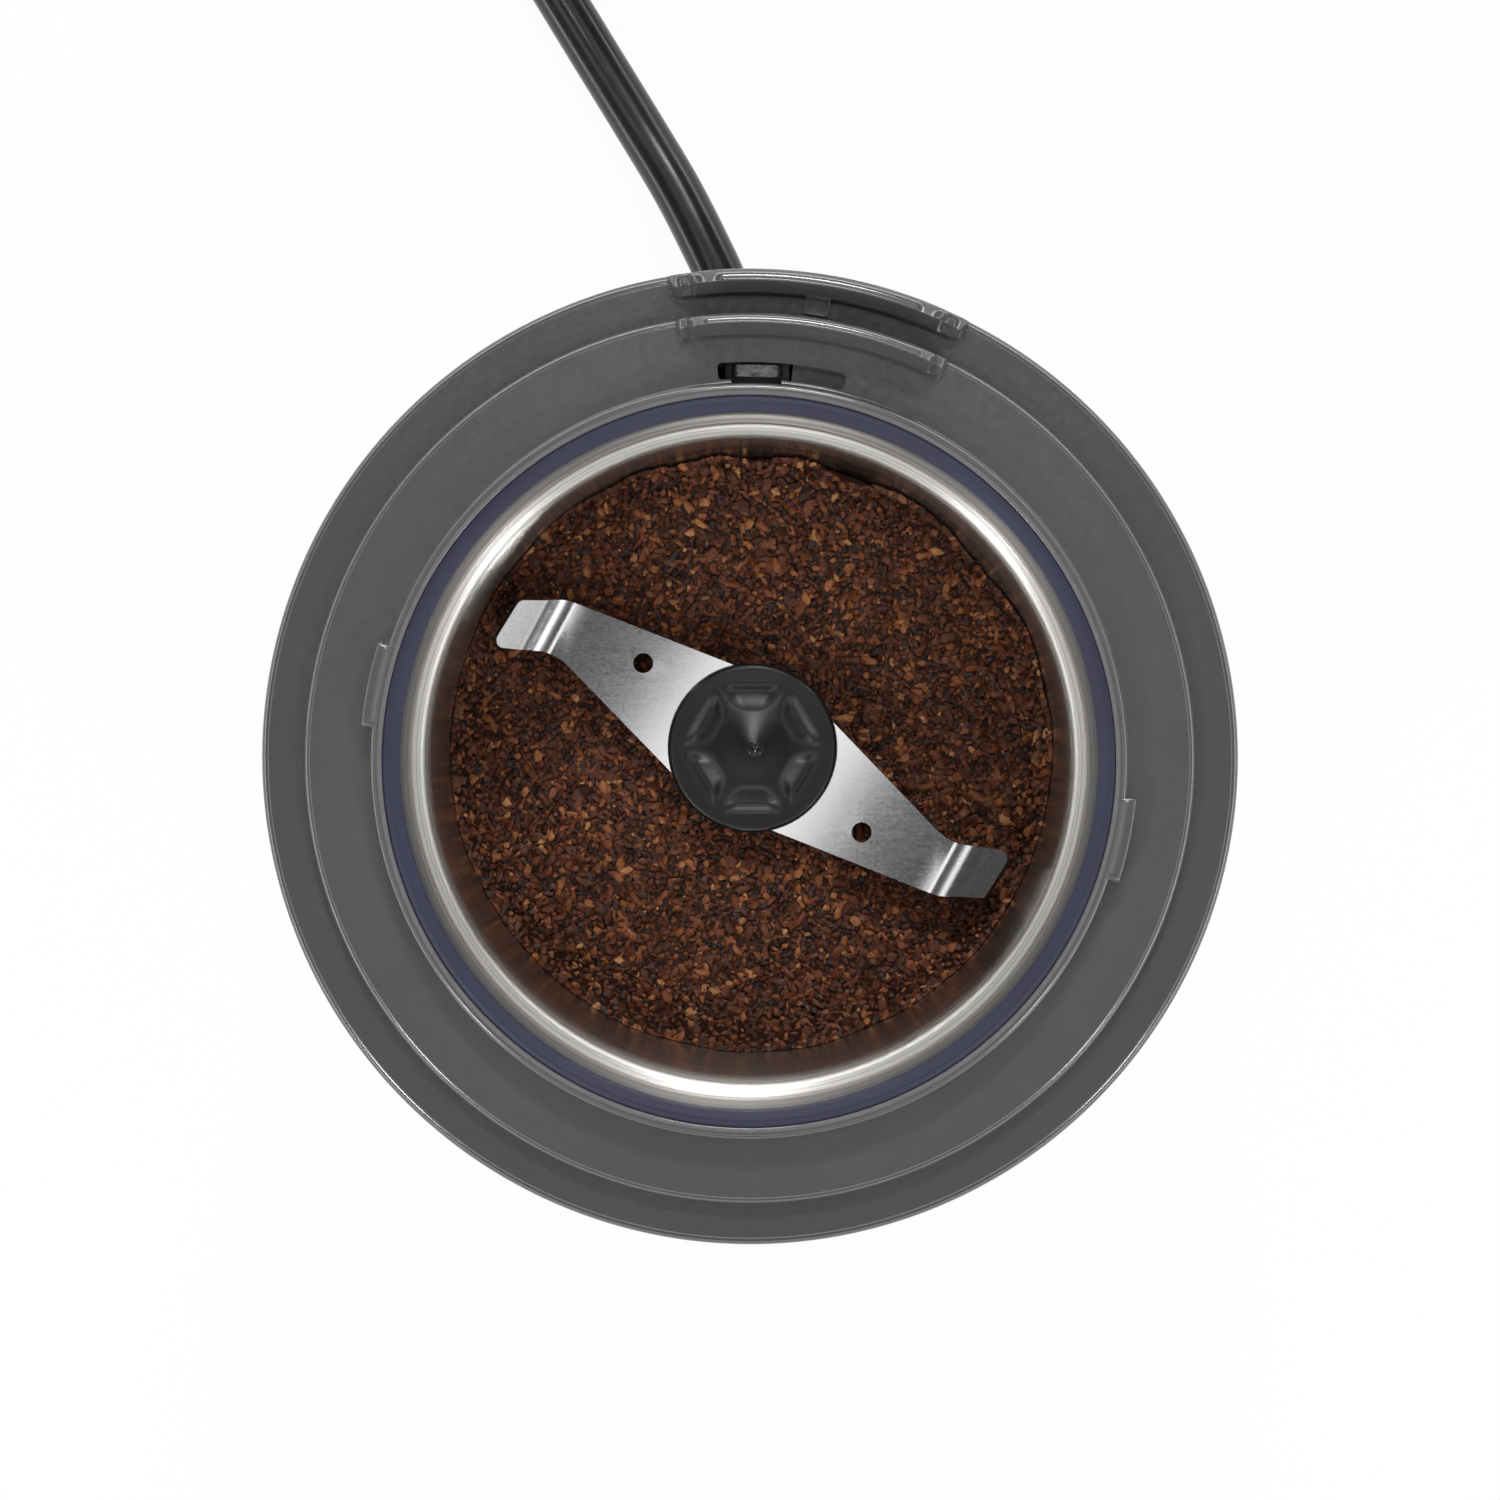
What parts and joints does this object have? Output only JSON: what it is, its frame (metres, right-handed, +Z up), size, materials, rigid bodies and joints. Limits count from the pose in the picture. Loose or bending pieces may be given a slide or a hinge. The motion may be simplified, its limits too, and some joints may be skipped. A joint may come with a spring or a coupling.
{
  "type": "electric spice grinder",
  "caption": "Round electric spice grinder without its lid: steel bowl with a bent two-arm blade, stepped rim with lid lugs, guard lips and safety plunger, motor inside, coiled lead.",
  "frame": {"origin": "on the table under the motor's axis, at the middle of the housing's outline", "axes": "+Z up along the motor's axis, +Y to the back where the lead leaves, +X to the right seen from the front"},
  "size_m": [0.1037, 0.2411, 0.1186],
  "materials": {
    "housing_plastic": "satin",
    "deck_plastic": "satin",
    "bowl_steel": "brushed",
    "seal_rubber": "satin",
    "base_plastic": "matte",
    "steel": "satin",
    "black_rubber": "matte",
    "hub_plastic": "gloss",
    "blade_steel": "brushed",
    "brass": "satin",
    "zinc": "cast",
    "core_steel": "matte",
    "copper": "satin",
    "white_plastic": "matte",
    "carbon": "matte",
    "black_plastic": "satin",
    "red_plastic": "satin",
    "cord_rubber": "gloss",
    "wire_plastic": "satin",
    "tie_plastic": "satin"
  },
  "bodies": {
    "housing": {"housing": "housing_plastic", "top_deck": "deck_plastic", "bowl": "bowl_steel", "bowl_seal": "seal_rubber", "base_cover": "base_plastic", "base_screws": "steel", "foot_front_right": "black_rubber", "foot_back_right": "black_rubber", "foot_back_left": "black_rubber", "foot_front_left": "black_rubber", "shaft_seal": "black_rubber", "bowl_gasket": "black_rubber", "upper_bracket": "zinc", "upper_bearing": "brass", "motor_dampers": "black_rubber", "motor_screws": "steel", "stator_core": "core_steel", "field_coil_front": "copper", "field_coil_back": "copper", "lower_bracket": "white_plastic", "lower_bearing": "brass", "motor_bolts": "steel", "brush_holder_left": "brass", "brush_holder_right": "brass", "carbon_brush_left": "carbon", "carbon_brush_right": "carbon", "brush_spring_left": "steel", "brush_spring_right": "steel", "plunger_spring": "steel", "switch_bracket": "white_plastic", "bracket_screws": "steel", "switch_body": "black_plastic", "switch_terminals": "brass", "strain_relief": "black_rubber", "cord_clamp": "black_plastic", "clamp_screws": "steel", "inner_lead": "cord_rubber", "inner_wires": "wire_plastic", "power_cord": "cord_rubber", "cord_coil": "cord_rubber", "cord_tail": "cord_rubber", "cord_tie": "tie_plastic", "plug_body": "cord_rubber", "plug_blades": "brass"},
    "spindle": {"hub_nut": "hub_plastic", "blade": "blade_steel", "blade_spacer": "brass", "motor_shaft": "steel", "armature_core": "core_steel", "armature_winding": "copper", "commutator": "copper", "cooling_fan": "white_plastic"},
    "plunger": {"safety_plunger": "black_plastic"},
    "switch_button": {"switch_button": "red_plastic"}
  },
  "joints": [
    {"name": "blade_spin", "type": "hinge", "parent": "housing", "child": "spindle", "pos_m": [0, 0, 0.05], "axis": [0, 0, 1], "continuous": true},
    {"name": "plunger_press", "type": "slide", "parent": "housing", "child": "plunger", "axis": [0, 0, -1], "range_m": [0, 0.002], "stiffness_N_per_m": 400, "springref_m": -0.003, "deforming": ["plunger_spring"]},
    {"name": "button_press", "type": "slide", "parent": "housing", "child": "switch_button", "axis": [0, 0, -1], "range_m": [0, 0.002], "stiffness_N_per_m": 100, "springref_m": -0.003}
  ],
  "couplings": [
    {"joint": "button_press", "follows": "plunger_press", "ratio": 1}
  ]
}
